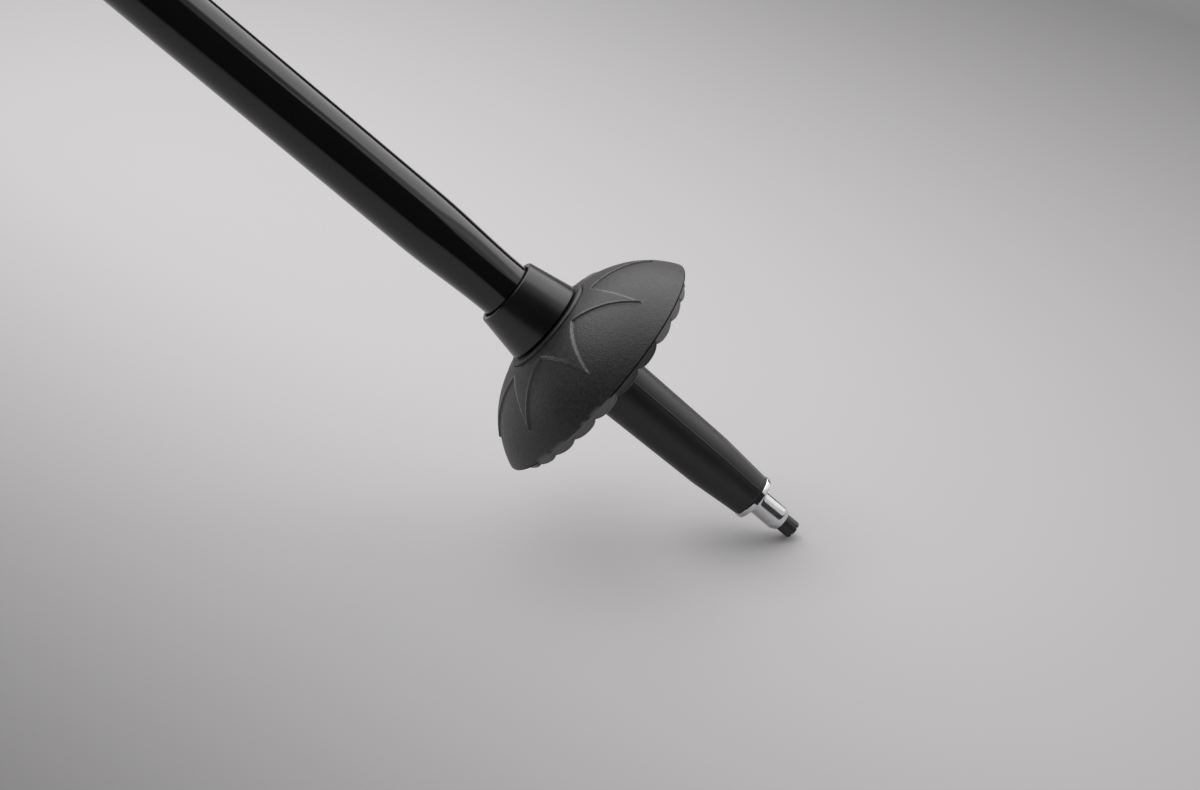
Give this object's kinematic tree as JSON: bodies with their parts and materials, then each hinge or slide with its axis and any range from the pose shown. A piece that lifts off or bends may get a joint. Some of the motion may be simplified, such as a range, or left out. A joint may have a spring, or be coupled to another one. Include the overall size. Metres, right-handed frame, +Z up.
{
  "type": "nordic walking pole",
  "caption": "Two-section telescoping walking pole with a domed basket, hardened tip, lever lock, contoured grip and click-in hand sling.",
  "frame": {"origin": "lowest point of the tip insert, on the pole's axis", "axes": "+Z up the pole to the grip, +X the walking direction, -X the side of the hand sling"},
  "size_m": [0.1098, 0.1076, 1.15],
  "materials": {
    "gloss_tube": "gloss black lacquer",
    "satin_holder": "satin black moulding",
    "soft_basket": "fine spark-eroded grain",
    "chrome": "polished",
    "carbide": "dark sintered",
    "natural_plastic": "natural nylon",
    "hard_black": "fine matt texture",
    "steel": "zinc-plated",
    "aluminium": "turned",
    "grip_foam": "soft matt",
    "button_grey": "satin grey",
    "sling_mesh": "padded knit",
    "webbing": "woven webbing",
    "hook_loop": "brushed loop"
  },
  "bodies": {
    "lower": {"carbide_tip": "carbide", "tip_ferrule": "chrome", "tip_holder": "satin_holder", "lower_tube": "gloss_tube", "guide_bush": "natural_plastic"},
    "basket": {"basket": "soft_basket"},
    "upper": {"upper_tube": "gloss_tube", "clamp_body": "hard_black", "clamp_liner": "hard_black", "cam_seat": "steel", "cross_pin": "steel", "tension_screw": "steel", "grip_collar": "hard_black", "grip_core": "hard_black", "grip_body": "grip_foam", "grip_head": "hard_black", "button_spring": "steel", "strap_plug": "hard_black", "link_pin": "steel"},
    "lever": {"lock_lever": "hard_black"},
    "nut": {"tension_nut": "aluminium"},
    "button": {"release_button": "button_grey"},
    "sling": {"strap_link": "hard_black", "strap_web": "webbing", "palm_panel": "sling_mesh", "back_band": "webbing", "wrist_band": "webbing", "closure_tab": "hook_loop", "thumb_loop": "webbing"}
  },
  "joints": [
    {"name": "length_slide", "type": "slide", "parent": "lower", "child": "upper", "axis": [0, 0, 1], "range_m": [-0.15, 0.15]},
    {"name": "basket_turn", "type": "hinge", "parent": "lower", "child": "basket", "pos_m": [0, 0, 0.07], "axis": [0, 0, 1], "range_deg": [0, 90]},
    {"name": "lever_swing", "type": "hinge", "parent": "upper", "child": "lever", "pos_m": [-0.0148, 0.00935, 0.605], "axis": [0, 0, 1], "range_deg": [0, 110]},
    {"name": "nut_turn", "type": "hinge", "parent": "upper", "child": "nut", "pos_m": [-0.0148, 0, 0.605], "axis": [0, 1, 0], "continuous": true},
    {"name": "button_press", "type": "slide", "parent": "upper", "child": "button", "axis": [0, 0, -1], "range_m": [0, 0.003], "stiffness_N_per_m": 600, "springref_m": -0.003, "deforming": ["button_spring"]},
    {"name": "sling_swing", "type": "hinge", "parent": "upper", "child": "sling", "pos_m": [-0.027, 0, 1.1241], "axis": [0, 1, 0], "range_deg": [0, 80]}
  ]
}
